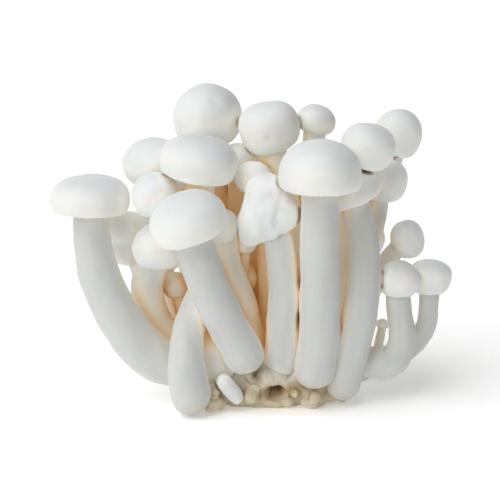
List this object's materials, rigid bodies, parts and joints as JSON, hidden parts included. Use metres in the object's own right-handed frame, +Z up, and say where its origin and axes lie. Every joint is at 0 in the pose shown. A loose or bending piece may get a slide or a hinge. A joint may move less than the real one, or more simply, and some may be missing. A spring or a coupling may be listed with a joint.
{
  "type": "bunch of mushrooms",
  "caption": "Bunch of white shimeji mushrooms of many sizes, fanned out of one cut, knobbly base that it stands on.",
  "frame": {"origin": "middle of the flat cut face under the base, on the surface that the bunch stands on", "axes": "+Z up, +X to the right of the pictured side, -Y towards the viewer"},
  "size_m": [0.0998, 0.0744, 0.0793],
  "materials": {
    "mushroom": "smooth, slightly moist white flesh",
    "base": "rough, fibrous cream to brown"
  },
  "bodies": {
    "root": {"base": "base", "far_left": "mushroom", "front_left": "mushroom", "front_left_low": "mushroom", "front_center": "mushroom", "front_folded": "mushroom", "front_right": "mushroom", "upper_left": "mushroom", "top_left": "mushroom", "left_back": "mushroom", "left_upper": "mushroom", "left_behind": "mushroom", "left_lower": "mushroom", "front_small": "mushroom", "upper_behind": "mushroom", "center_behind": "mushroom", "top_center": "mushroom", "top_mid": "mushroom", "upper_right": "mushroom", "top_right": "mushroom", "right": "mushroom", "right_small_high": "mushroom", "right_small": "mushroom", "far_right": "mushroom", "gap_small": "mushroom", "gap_cap": "mushroom", "gap_left": "mushroom", "finger": "mushroom", "back_high_left": "mushroom", "back_high_center": "mushroom", "back_high_right": "mushroom", "back_left": "mushroom", "back_center": "mushroom", "back_right": "mushroom", "back_low_right": "mushroom", "back_low_left": "mushroom", "back_low_center": "mushroom", "back_button": "mushroom"}
  },
  "joints": []
}
